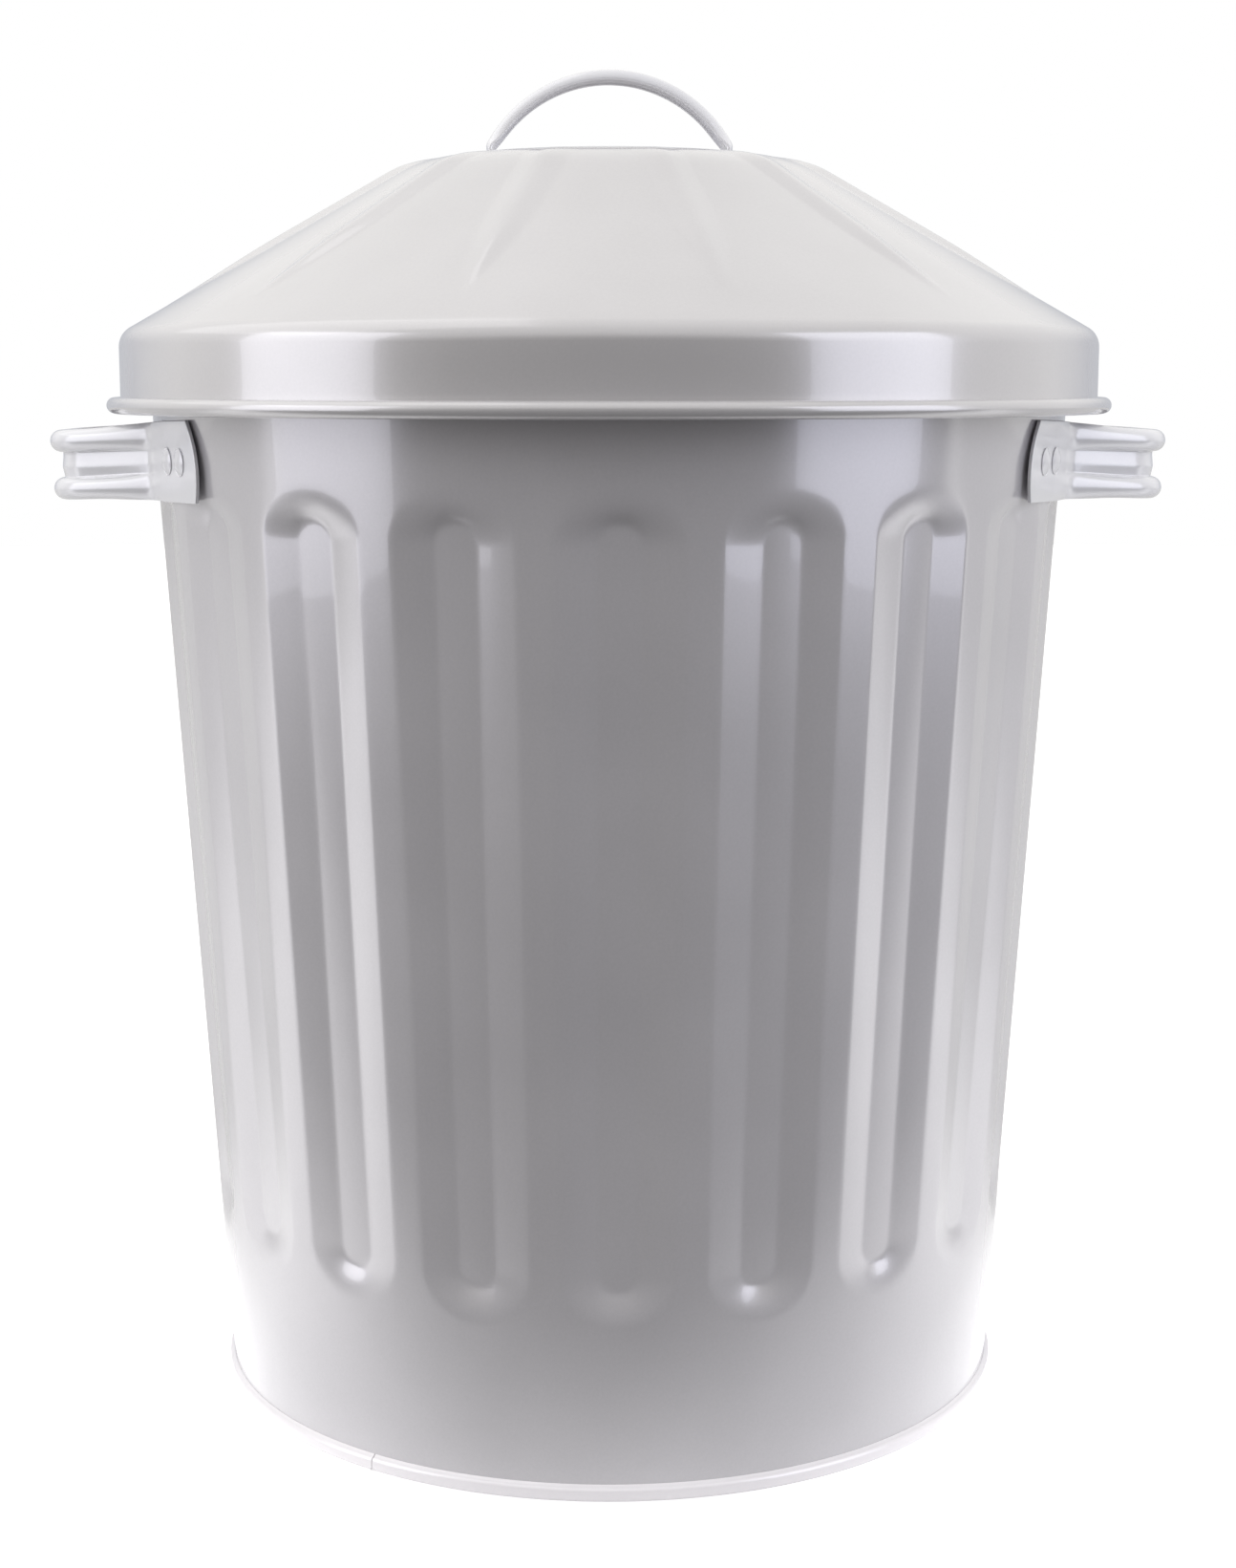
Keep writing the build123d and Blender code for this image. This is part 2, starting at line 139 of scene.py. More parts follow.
def new_material(name):
    material = bpy.data.materials.new(name)
    material.use_nodes = True
    tree = material.node_tree
    tree.nodes.clear()
    output = tree.nodes.new("ShaderNodeOutputMaterial")
    place = tree.nodes.new("ShaderNodeTexCoord")
    return material, tree, output, place


def enamel(name, light, dark, pearl=0.28, roughness=0.22, ripple=1.0):
    """Sprayed and stoved gloss enamel on sheet steel: a wet-looking white with a faint pearl.

    The spray leaves an orange peel with waves about 3 mm long, which wavers the reflections, and
    the sheet under it is never quite flat, which bends them slowly over about 40 mm. ripple is how
    much of both there is, least on the stiff straps. The pearl is a grain well under a millimetre,
    drawn at 0.7 mm so that it shows, that breaks the tone up a little.
    """
    material, tree, output, place = new_material(name)
    where = place.outputs["Object"]
    drift = add_node(tree, "ShaderNodeTexNoise", {"Scale": 1 / (60 * MM), "Detail": 2.0}, Vector=where)
    grain = add_node(tree, "ShaderNodeTexNoise", {"Scale": 1 / (0.7 * MM), "Detail": 1.0}, Vector=where)
    tone = add_node(tree, "ShaderNodeMath", {"operation": "MULTIPLY_ADD", 1: 0.35})
    tree.links.new(grain.outputs["Fac"], tone.inputs[0])
    tree.links.new(drift.outputs["Fac"], tone.inputs[2])
    shade = add_node(tree, "ShaderNodeValToRGB", Fac=tone.outputs[0])
    shade.color_ramp.elements[0].position = 0.45
    shade.color_ramp.elements[0].color = linear(dark)
    shade.color_ramp.elements[1].position = 0.90
    shade.color_ramp.elements[1].color = linear(light)

    peel = add_node(
        tree, "ShaderNodeTexNoise", {"Scale": 1 / (3 * MM), "Detail": 1.5, "Roughness": 0.4}, Vector=where
    )
    sheet = add_node(tree, "ShaderNodeTexNoise", {"Scale": 1 / (40 * MM), "Detail": 1.0}, Vector=where)
    waves = add_node(
        tree, "ShaderNodeBump", {"Strength": 1.0, "Distance": ripple * 0.04 * MM},
        Height=sheet.outputs["Fac"],
    )
    skin = add_node(
        tree, "ShaderNodeBump", {"Strength": 1.0, "Distance": ripple * 0.002 * MM},
        Height=peel.outputs["Fac"], Normal=waves.outputs["Normal"],
    )
    shader = add_node(
        tree, "ShaderNodeBsdfPrincipled",
        {
            "Metallic": pearl, "Roughness": roughness, "IOR": 1.52,
            "Coat Weight": 1.0, "Coat Roughness": 0.03, "Coat IOR": 1.5,
        },
        Base_Color=shade.outputs["Color"], Normal=skin.outputs["Normal"],
    )
    tree.links.new(shader.outputs["BSDF"], output.inputs["Surface"])
    return material


def drawn_steel_wire():
    """Bright drawn mild steel wire: grey metal, its gloss broken up by the marks of the die."""
    material, tree, output, place = new_material("drawn_steel_wire")
    marks = add_node(
        tree, "ShaderNodeTexNoise", {"Scale": 1 / (0.4 * MM), "Detail": 2.0}, Vector=place.outputs["Object"]
    )
    spread = add_node(
        tree, "ShaderNodeMapRange", {"To Min": 0.28, "To Max": 0.45}, Value=marks.outputs["Fac"]
    )
    shader = add_node(
        tree, "ShaderNodeBsdfPrincipled", {"Metallic": 1.0, "Base Color": linear("#9A9B9E")},
        Roughness=spread.outputs["Result"],
    )
    tree.links.new(shader.outputs["BSDF"], output.inputs["Surface"])
    return material


BODY_ENAMEL = enamel("white_stoved_enamel_body", "#DCDADD", "#D2D0D3")
LID_ENAMEL = enamel("white_stoved_enamel_lid", "#DAD8D9", "#D1CFD0", ripple=0.5)
# painted highlight: the hoop is the same white enamel as the wall, painted lighter (#FBF8FA) to stand for
# the floor light that it catches
HOOP_ENAMEL_PAINTED_LIGHTER = enamel("white_enamel_hoop_painted_lighter", "#FBF8FA", "#F6F3F6", pearl=0.1, roughness=0.25)
HANDLE_ENAMEL = enamel(
    "white_stoved_enamel_handles", "#F4F4F6", "#EDEDF1", pearl=0.12, roughness=0.2, ripple=0.1
)
STEEL_WIRE = drawn_steel_wire()


# ---- making pieces ---------------------------------------------------------------------------
def add_piece(name, bm, body, material, slot, *nodes, crease=40):
    """Turns a bmesh into a piece that rides on a body in place of CAD nodes.

    crease is the angle, in degrees, from which an edge stays sharp.
    """
    mesh = bpy.data.meshes.new(name)
    bm.to_mesh(mesh)
    bm.free()
    mesh.shade_smooth()
    mesh.set_sharp_from_angle(angle=math.radians(crease))
    mesh.materials.append(material)
    piece = bpy.data.objects.new(name, mesh)
    bpy.context.scene.collection.objects.link(piece)
    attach(piece, body)
    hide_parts(*nodes)
    return piece


def straight(start, end, count):
    """Evenly spaced points from start up to, but not with, end."""
    return [
        tuple(a + (b - a) * number / count for a, b in zip(start, end)) for number in range(count)
    ]


def arc(centre, radius, first, last, count):
    """Points round an arc, both ends in, angles in degrees from +r towards +z."""
    points = []
    for number in range(count + 1):
        angle = math.radians(first + (last - first) * number / count)
        points.append((centre[0] + radius * math.cos(angle), centre[1] + radius * math.sin(angle)))
    return points


def spin_section(section, columns):
    """Spins a closed (radius, height) section about Z, from the back of the bin."""
    shares = 16
    bm = bmesh.new()
    verts = [bm.verts.new((0, radius, height)) for radius, height in section]
    edges = [bm.edges.new(pair) for pair in zip(verts, verts[1:] + verts[:1])]
    # a sixteenth in steps and then its copies, because one long spin takes many times longer
    bmesh.ops.spin(
        bm, geom=verts + edges, cent=(0, 0, 0), axis=(0, 0, 1), angle=math.tau / shares,
        steps=columns // shares, use_merge=False, use_duplicate=False, dvec=(0, 0, 0),
    )
    bmesh.ops.spin(
        bm, geom=bm.verts[:] + bm.edges[:] + bm.faces[:], cent=(0, 0, 0), axis=(0, 0, 1),
        angle=math.tau * (shares - 1) / shares, steps=shares - 1, use_duplicate=True, dvec=(0, 0, 0),
    )
    bmesh.ops.remove_doubles(bm, verts=bm.verts, dist=0.002 * MM)
    bmesh.ops.recalc_face_normals(bm, faces=bm.faces)
    return bm


def soft_step(value, soft):
    """value held between 0 and 1, with both corners rounded over soft each way."""
    if value <= -soft:
        return 0.0
    if value >= 1 + soft:
        return 1.0
    if value < soft:
        return (value + soft) ** 2 / (4 * soft)
    if value > 1 - soft:
        return 1 - (1 + soft - value) ** 2 / (4 * soft)
    return value


def push(vert, outwards, upwards=0.0):
    """Moves a vertex away from the axis, and up."""
    radius = math.hypot(vert.co.x, vert.co.y)
    grow = (radius + outwards) / radius
    vert.co = Vector((vert.co.x * grow, vert.co.y * grow, vert.co.z + upwards))


# ---- body shell ------------------------------------------------------------------------------
FLUTES = 19
FLUTE_PITCH = 18.6           # degrees
FLUTE_FLOOR = 2.5            # half angle of the flat floor
FLUTE_EDGE = 7.25            # half angle at the lands
FLUTE_DEPTH = 2.5 * MM
FLUTE_LOW = 60 * MM          # where the floor of a flute starts and ends
FLUTE_HIGH = 270 * MM
FLUTE_SOFT = 0.06            # rounding of the flute's edges, as a share of its slope
FLUTE_TOP_DROP = 2.6         # how much more steeply than its sides a flute ends at the top
FLUTE_FOOT_DROP = 0.6        # and at the foot
SEAM_HALF_WIDTH = 4 * MM
SEAM_HEIGHT = 0.9 * MM
SEAM_EDGE = 0.7 * MM         # width of the step up to the seam
SEAM_RUN_OUT = 2 * MM        # length of its upper end
RIM_NECK = 4 * MM            # the plain wall below the rolled rim

FLUTE_COLUMNS = 32           # columns of faces in one flute and its land
SEAM_COLUMNS = 32            # columns in what is left over at the back
BODY_COLUMNS = FLUTES * FLUTE_COLUMNS + SEAM_COLUMNS


def body_azimuth(column):
    """Azimuth of a column: closer together where the flutes' edges are."""
    spare = (360 - FLUTES * FLUTE_PITCH) / 2
    start = SEAM_COLUMNS // 2
    if column <= start:
        return spare * column / start - 180
    if column >= BODY_COLUMNS - start:
        return 180 - spare * (BODY_COLUMNS - column) / start
    along = (column - start) * FLUTE_PITCH / FLUTE_COLUMNS
    crowd = 0.4 * math.sin(math.tau * (along - FLUTE_PITCH / 2) / (FLUTE_PITCH / 4))
    return spare + along + crowd - 180


def flute_share(azimuth, height):
    """How far the wall is pressed in: 0 on a land, 1 on the floor of a flute."""
    number = round(azimuth / FLUTE_PITCH)
    if abs(number) > FLUTES // 2:
        return 0.0
    degree = wall_radius(height) * math.radians(1)
    across = abs(azimuth - number * FLUTE_PITCH)
    low, high = FLUTE_LOW + FLUTE_FLOOR * degree, FLUTE_HIGH - FLUTE_FLOOR * degree
    past = max(0.0, low - height, height - high) / degree
    away = math.hypot(across, past)
    share = soft_step((FLUTE_EDGE - away) / (FLUTE_EDGE - FLUTE_FLOOR), FLUTE_SOFT)
    # the sides are plain slopes, but the ends start gently and drop to the floor in a short step
    drop = FLUTE_TOP_DROP if height > high else FLUTE_FOOT_DROP
    return share ** (1 + drop * (past / away) ** 2) if past else share


def seam_share(azimuth, height):
    """How far the lock seam at the back stands out."""
    aside = (180 - abs(azimuth)) * math.radians(1) * wall_radius(height)
    side = soft_step((SEAM_HALF_WIDTH - aside) / SEAM_EDGE + 0.5, 0.3)
    top = soft_step((RIM_HEIGHT - RIM_NECK - height) / SEAM_RUN_OUT, 0.2)
    return side * top


def wall_points(inset, spans, counts):
    """(radius, height) points up the wall, a count of them in each span of height."""
    points = []
    for (low, high), count in zip(spans, counts):
        start = (wall_radius(low) - inset, low)
        points += straight(start, (wall_radius(high) - inset, high), count)
    return points


def body_shell():
    # rows of faces are close together where the flutes end, and far apart elsewhere
    bottom_end = (FLUTE_LOW - 13 * MM, FLUTE_LOW + 9 * MM)
    top_end = (FLUTE_HIGH - 11 * MM, FLUTE_HIGH + 14 * MM)
    spans = [
        (WALL_FOOT, bottom_end[0]), bottom_end, (bottom_end[1], top_end[0]), top_end,
        (top_end[1], RIM_HEIGHT),
    ]
    inner = wall_points(SHEET, spans, (2, 11, 5, 12, 2))
    outer = wall_points(0, spans, (4, 24, 8, 28, 5))
    roll = RIM_WIRE + SEAM_GAP
    centre = (RIM_RADIUS, RIM_HEIGHT)
    section = inner + arc(centre, roll + SHEET, 180, -165, 22) + arc(centre, roll, -165, 180, 12)[:-1]
    section += [(MOUTH_RADIUS, RIM_HEIGHT)] + outer[::-1]

    bm = spin_section(section, BODY_COLUMNS)
    column_turn = math.tau / BODY_COLUMNS
    for vert in bm.verts:
        radius = math.hypot(vert.co.x, vert.co.y)
        column = round((math.atan2(-vert.co.x, vert.co.y) % math.tau) / column_turn)
        azimuth = body_azimuth(column % BODY_COLUMNS)
        outer_face = radius > wall_radius(vert.co.z) - SHEET / 2
        pressed = FLUTE_DEPTH * flute_share(azimuth, vert.co.z)
        raised = SEAM_HEIGHT * seam_share(azimuth, vert.co.z) if outer_face else 0.0
        if vert.co.z > RIM_HEIGHT - RIM_NECK:
            pressed = raised = 0.0
        radius += raised - pressed
        turn = math.radians(azimuth)
        vert.co = Vector((radius * math.sin(turn), -radius * math.cos(turn), vert.co.z))
    add_piece("body_shell_enamelled", bm, "bin", BODY_ENAMEL, "body_enamel", "body_shell", crease=60)


# ---- foot hoop -------------------------------------------------------------------------------
HOOP_SHEET = 0.8 * MM
HOOP_HEIGHT = 4.6 * MM
HOOP_EDGE = 1.0 * MM         # radius under the hoop
HOOP_SHOULDER = 1.3 * MM     # radius above it, where it turns in to the lip
HOOP_LIP = 0.55 * MM         # from the shoulder to the lip's top
HOOP_JOINT_AZIMUTH = -35.0
HOOP_JOINT_GAP = 0.25 * MM
HOOP_JOINT_SNIP = 1.0 * MM   # the lower corners of the hoop's ends are snipped off


def base_hoop():
    leg_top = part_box("base_hoop")[1].z
    lip = wall_radius(HOOP_HEIGHT) + SEAM_GAP
    leg_outer = pan_high.x - WALL_TAPER * pan_high.z - SHEET - SEAM_GAP
    leg_inner = leg_outer - HOOP_SHEET
    ease = 0.4 * MM
    shoulder_middle = (HOOP_RADIUS - HOOP_SHOULDER, HOOP_HEIGHT - HOOP_LIP - HOOP_SHOULDER)
    outside = (
        [(leg_inner, leg_top), (leg_inner, ease), (leg_inner + ease, 0)]
        + arc((HOOP_RADIUS - HOOP_EDGE, HOOP_EDGE), HOOP_EDGE, -90, 0, 8)
        + arc(shoulder_middle, HOOP_SHOULDER, 0, 78, 10)
    )
    inner_face = HOOP_RADIUS - HOOP_SHEET
    inside = [
        (lip, HOOP_HEIGHT), (lip, HOOP_HEIGHT - HOOP_SHEET), (inner_face, shoulder_middle[1]),
        (inner_face, 2 * HOOP_SHEET), (inner_face - HOOP_SHEET / 2, HOOP_SHEET),
        (leg_outer, HOOP_SHEET), (leg_outer, leg_top),
    ]
    turn = math.radians(HOOP_JOINT_AZIMUTH)
    gap = HOOP_JOINT_GAP / HOOP_RADIUS
    bm = bmesh.new()
    start = Matrix.Rotation(turn + gap / 2, 3, "Z")
    verts = [bm.verts.new(start @ Vector((0, -radius, height))) for radius, height in outside + inside]
    bm.faces.new(verts)
    bmesh.ops.spin(
        bm, geom=bm.verts[:] + bm.edges[:] + bm.faces[:], cent=(0, 0, 0), axis=(0, 0, 1),
        angle=math.tau - gap, steps=240, use_merge=False, use_duplicate=False, dvec=(0, 0, 0),
    )
    bmesh.ops.recalc_face_normals(bm, faces=bm.faces)
    for vert in bm.verts:
        aside = (math.atan2(vert.co.x, -vert.co.y) - turn) * HOOP_RADIUS
        if abs(aside) < HOOP_JOINT_GAP and vert.co.z < HOOP_EDGE:
            snip = math.copysign(HOOP_JOINT_SNIP * (1 - vert.co.z / HOOP_EDGE), aside)
            vert.co.rotate(Matrix.Rotation(snip / HOOP_RADIUS, 3, "Z"))
    add_piece("foot_hoop_enamelled", bm, "bin", HOOP_ENAMEL_PAINTED_LIGHTER, "hoop_enamel", "base_hoop")


# ---- lid shell -------------------------------------------------------------------------------
LID_SLOPE = math.radians(29.9)
CROWN_RADIUS = 56.1 * MM     # where cone and crown would meet with no rounding
CROWN_ROUNDING = 43 * MM
SHOULDER_ROUNDING = 6.5 * MM
SHOULDER_HEIGHT = CROWN_HEIGHT - (SKIRT_RADIUS - CROWN_RADIUS) * math.tan(LID_SLOPE)
RIBS = 12
RIB_PHASE = 12.35
RIB_HEIGHT = 1.3 * MM
RIB_HALF_WIDTH = 7 * MM
RIB_CREST = 1.2 * MM         # half width of the rib's flat crest
RIB_INNER = 50 * MM          # radii on the lid where a rib starts and ends
RIB_OUTER = 131 * MM
RIB_RUN_IN = 14 * MM         # lengths over which it rises from the crown, sinks and narrows
RIB_RUN_OUT = 26 * MM
RIB_POINT = 34 * MM
LID_HUB = 14 * MM            # radius of the flat disc in the middle of each face
LID_COLUMNS = 640


def lid_surface(inset, crown_rows, cone_rows, shoulder_rows):
    """(radius, height) points from the crown's flat to the top of the skirt."""
    top = CROWN_HEIGHT - inset
    side = SKIRT_RADIUS - inset
    shoulder = SHOULDER_HEIGHT + inset * (math.tan(LID_SLOPE) - 1 / math.cos(LID_SLOPE))
    crown = side - (top - shoulder) / math.tan(LID_SLOPE)
    crown_round = CROWN_ROUNDING - inset
    shoulder_round = SHOULDER_ROUNDING - inset
    slope = math.degrees(LID_SLOPE)
    flat = crown - crown_round * math.tan(LID_SLOPE / 2)
    crown_arc = arc((flat, top - crown_round), crown_round, 90, 90 - slope, crown_rows)
    drop = shoulder_round * math.tan((math.pi / 2 - LID_SLOPE) / 2)
    shoulder_arc = arc(
        (side - shoulder_round, shoulder - drop), shoulder_round, 90 - slope, 0, shoulder_rows
    )
    return (
        straight((LID_HUB, top), crown_arc[0], 3) + crown_arc[:-1]
        + straight(crown_arc[-1], shoulder_arc[0], cone_rows) + shoulder_arc
    )


def rib_rise(azimuth, radius):
    """How far a rib stands out of the cone, nothing between the ribs."""
    pitch = 360 / RIBS
    aside = abs((azimuth - RIB_PHASE + pitch / 2) % pitch - pitch / 2)
    across = math.radians(aside) * radius
    narrow = soft_step((RIB_OUTER - radius) / RIB_POINT, 0.2)
    start = soft_step((radius - RIB_INNER) / RIB_RUN_IN, 0.2)
    half_width = RIB_HALF_WIDTH * (0.25 + 0.75 * narrow)
    side = soft_step((half_width - across) / (half_width - RIB_CREST * narrow), 0.12)
    end = soft_step((RIB_OUTER - radius) / RIB_RUN_OUT, 0.2)
    return RIB_HEIGHT * side * start * end


def lid_shell():
    outer = lid_surface(0, 14, 40, 10)
    inner = lid_surface(SHEET, 7, 20, 5)
    roll = LID_WIRE + SEAM_GAP
    centre = (LID_WIRE_RADIUS, LID_WIRE_HEIGHT)
    outer += straight(outer[-1], (SKIRT_RADIUS, LID_WIRE_HEIGHT), 4)[1:]
    inner += straight(inner[-1], (SKIRT_RADIUS - SHEET, LID_WIRE_HEIGHT), 3)[1:]
    section = (
        outer + arc(centre, roll, 180, 520, 12) + arc(centre, roll + SHEET, 522, 180, 24) + inner[::-1]
    )
    bm = spin_section(section, LID_COLUMNS)
    # the spun section leaves a tube through the middle, and a disc on each face takes its place
    tube = [
        face for face in bm.faces
        if all(abs(math.hypot(vert.co.x, vert.co.y) - LID_HUB) < 0.01 * MM for vert in face.verts)
    ]
    bmesh.ops.delete(bm, geom=tube, context="FACES")
    hub_edges = [edge for edge in bm.edges if edge.is_boundary]
    inside_sheet = CROWN_HEIGHT - SHEET / 2
    for above in (True, False):
        disc = [edge for edge in hub_edges if (edge.verts[0].co.z > inside_sheet) == above]
        bmesh.ops.contextual_create(bm, geom=disc)
    bmesh.ops.recalc_face_normals(bm, faces=bm.faces)

    for vert in bm.verts:
        radius = math.hypot(vert.co.x, vert.co.y)
        if not RIB_INNER < radius < RIB_OUTER + 5 * MM or vert.co.z < SHOULDER_HEIGHT:
            continue
        azimuth = math.degrees(math.atan2(vert.co.x, -vert.co.y))
        rise = rib_rise(azimuth, radius)
        push(vert, rise * math.sin(LID_SLOPE), rise * math.cos(LID_SLOPE))
    add_piece("lid_shell_enamelled", bm, "lid", LID_ENAMEL, "lid_enamel", "lid_shell", crease=60)


# ---- straps ----------------------------------------------------------------------------------
class Route:
    """A flat route of straight and round stretches, each a (length, turn) with turn in radians."""

    def __init__(self, start, heading, stretches):
        self.start, self.heading, self.stretches = start, heading, stretches
        self.length = sum(length for length, turn in stretches)

    def at(self, distance):
        """Point and heading at a distance along the route."""
        x, y = self.start
        heading = self.heading
        for number, (length, turn) in enumerate(self.stretches):
            last = number == len(self.stretches) - 1
            run = distance if last else min(distance, length)
            bend = turn * run / length
            chord = run if abs(bend) < 1e-9 else 2 * run / bend * math.sin(bend / 2)
            x += chord * math.cos(heading + bend / 2)
            y += chord * math.sin(heading + bend / 2)
            heading += bend
            distance -= run
            if distance <= 0:
                break
        return Vector((x, y)), heading


def strap_sheet(along, across, place):
    """Grid of along by across faces, each vertex put where place(u, v) says, u and v from 0 to 1."""
    bm = bmesh.new()
    bmesh.ops.create_grid(bm, x_segments=along, y_segments=across, size=0.5)
    for vert in bm.verts:
        vert.co = place(vert.co.x + 0.5, vert.co.y + 0.5)
    bmesh.ops.recalc_face_normals(bm, faces=bm.faces)
    return bm


def thicken(piece, thickness, rounding):
    """Gives a sheet its thickness, half to each side, and eases its cut edges."""
    wall = piece.modifiers.new("thickness", "SOLIDIFY")
    wall.thickness = thickness
    wall.offset = 0
    wall.use_even_offset = True
    ease = piece.modifiers.new("eased_edges", "BEVEL")
    ease.width = rounding
    ease.segments = 3
    ease.limit_method = "ANGLE"
    ease.angle_limit = math.radians(50)
    ease.harden_normals = False


# ---- side handles ----------------------------------------------------------------------------
HANDLE_HEIGHT = 283.25 * MM
PLATE_AZIMUTH = 64.5
PLATE_FRONT = 20.0 * MM      # from the line that touches the wall to the strap's end
PLATE_REAR = 18 * MM         # from that line to the first bend
PLATE_HALF_HEIGHT = 11.5 * MM
PLATE_END_BULGE = 6.2 * MM   # the strap's end is cut to a shallow arc, fullest below its middle
PLATE_END_FULLEST = -2.5 * MM
ARM_ANGLE = math.radians(30)
BEND_RADIUS = 10 * MM
CORNER_RADIUS = 14 * MM
BEAD_HEIGHT = 7 * MM         # of a bead's middle from the strap's middle
BEAD_RADIUS = 2.75 * MM      # to the middle of the sheet
BEAD_FLANK = 1.25 * MM
BEAD_ROOT = 0.75 * MM        # radius where a bead runs out into the web
RIDGE_HEIGHT = 0.5 * MM      # of the faint ridge along the web
RIDGE_PLACE = -0.6 * MM
RIDGE_HALF_WIDTH = 3.2 * MM
BEAD_STAND = 4.5 * MM        # from the strap's inner face to the top of a bead
GRIP_EASE = 0.45 * MM        # the grip leans with the wall, which takes it this much further out
BEAD_START = 6 * MM          # the beads start this far before the first bend
BEAD_RUN_IN = 30 * MM        # and reach their full height over this length


def touch_point():
    radius = wall_radius(HANDLE_HEIGHT)
    turn = math.radians(PLATE_AZIMUTH)
    return radius * math.sin(turn), -radius * math.cos(turn)


def handle_route():
    """Inner face of the right handle's strap in plan, x outwards from where it touches."""
    touch_x, touch_y = touch_point()
    turn = math.radians(PLATE_AZIMUTH)
    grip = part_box("right_handle")[1].x - touch_x - BEAD_STAND - GRIP_EASE
    bend = turn - ARM_ANGLE
    knee_run = PLATE_REAR + BEND_RADIUS * math.tan(bend / 2)
    knee = Vector((knee_run * math.cos(turn), touch_y + knee_run * math.sin(turn)))
    arm = (grip - knee.x) / math.cos(ARM_ANGLE)
    corner_turn = math.pi / 2 - ARM_ANGLE
    corner_cut = CORNER_RADIUS * math.tan(corner_turn / 2)
    half_grip = -(knee.y + (grip - knee.x) * math.tan(ARM_ANGLE)) - corner_cut
    half = [
        (PLATE_FRONT + PLATE_REAR, 0.0),
        (BEND_RADIUS * bend, -bend),
        (arm - BEND_RADIUS * math.tan(bend / 2) - corner_cut, 0.0),
        (CORNER_RADIUS * corner_turn, corner_turn),
        (half_grip, 0.0),
    ]
    start = (
        -PLATE_FRONT * math.cos(turn) + SEAM_GAP * math.sin(turn),
        touch_y - PLATE_FRONT * math.sin(turn) - SEAM_GAP * math.cos(turn),
    )
    return Route(start, turn, half + half[::-1])


def bead_section():
    """Middle of the formed strap's sheet from its middle to its upper edge: along is up, then out."""
    quarter = math.pi / 2
    web = BEAD_HEIGHT - BEAD_RADIUS - BEAD_ROOT
    return Route((0, 0), quarter, [
        (web, 0.0), (BEAD_ROOT * quarter, -quarter), (BEAD_RADIUS * math.pi, math.pi), (BEAD_FLANK, 0.0)
    ])


def side_handle(name, hand):
    """A flat strap end is riveted to the wall at each end of a grip with a bead along each edge."""
    route, bead = handle_route(), bead_section()
    touch_x = touch_point()[0]
    lean = math.atan(WALL_TAPER * math.sin(math.radians(PLATE_AZIMUTH)))
    out_way = Vector((math.cos(lean), 0, -math.sin(lean)))
    up_way = Vector((math.sin(lean), 0, math.cos(lean)))
    bead_start = PLATE_FRONT + PLATE_REAR - BEAD_START

    def place(u, v):
        side = 1 if v >= 0.5 else -1
        spread = abs(2 * v - 1)
        flat_height = side * spread * PLATE_HALF_HEIGHT
        off_fullest = (flat_height - PLATE_END_FULLEST) / (PLATE_HALF_HEIGHT - PLATE_END_FULLEST)
        end = PLATE_END_BULGE * off_fullest ** 2
        distance = end + u * (route.length - 2 * end)
        near_end = min(distance, route.length - distance)
        formed = soft_step((near_end - bead_start) / BEAD_RUN_IN, 0.25)
        shape, heading = bead.at(spread * bead.length)
        on_web = shape.x < 0.01 * MM
        ridge = soft_step(1 - abs(side * shape.y - RIDGE_PLACE) / RIDGE_HALF_WIDTH, 0.2) if on_web else 0
        stand = SIDE_STRAP / 2 + formed * (shape.x + RIDGE_HEIGHT * ridge)
        height = flat_height + formed * (side * shape.y - flat_height)
        point, heading = route.at(distance)
        outwards = Vector((math.sin(heading), -math.cos(heading)))
        spot = point + outwards * stand
        spot_3d = Vector((touch_x, spot.y, HANDLE_HEIGHT)) + out_way * spot.x + up_way * height
        return Vector((hand * spot_3d.x, spot_3d.y, spot_3d.z))

    bm = strap_sheet(150, 72, place)
    piece = add_piece(
        f"{name}_handle_pressed", bm, "bin", HANDLE_ENAMEL, "handle_enamel", f"{name}_handle", crease=60
    )
    thicken(piece, SIDE_STRAP, 0.3 * MM)


# ---- lid handle ------------------------------------------------------------------------------
BOW_RADIUS = 42 * MM
FOOT_REACH = 15 * MM
FOOT_BEND = 2.6 * MM
BOW_FLAT = 5.6 * MM          # half of the strap's flat middle
BOW_CURL = 3.4 * MM          # round part of a turned-under edge, along the sheet
BOW_LEG = 0.3 * MM           # straight part below the round
BOW_CURL_START = 1 * MM      # the edges start to turn under this far up from a foot
BOW_CURL_RUN = 9 * MM        # and are fully turned after this length
FOOT_END_CUT = 1.5 * MM      # the foot's end is rounded by this much at its corners


def bow_route():
    """Middle of the lid handle's sheet seen from the front, from its left foot's inner end."""
    low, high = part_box("lid_handle")
    centre_height = high.z - BOW_RADIUS
    foot = low.z + BOW_STRAP / 2
    middle = BOW_RADIUS - BOW_STRAP / 2
    rise = foot + FOOT_BEND - centre_height
    bend_x = -math.sqrt((middle - FOOT_BEND) ** 2 - rise ** 2)
    tangent = math.atan2(rise, bend_x)
    fold = math.pi * 1.5 - tangent
    sweep = tangent - math.pi / 2
    half = [(-bend_x - FOOT_REACH, 0.0), (FOOT_BEND * fold, -fold), (middle * sweep, -sweep)]
    return Route((-FOOT_REACH, foot), math.pi, half + half[::-1])


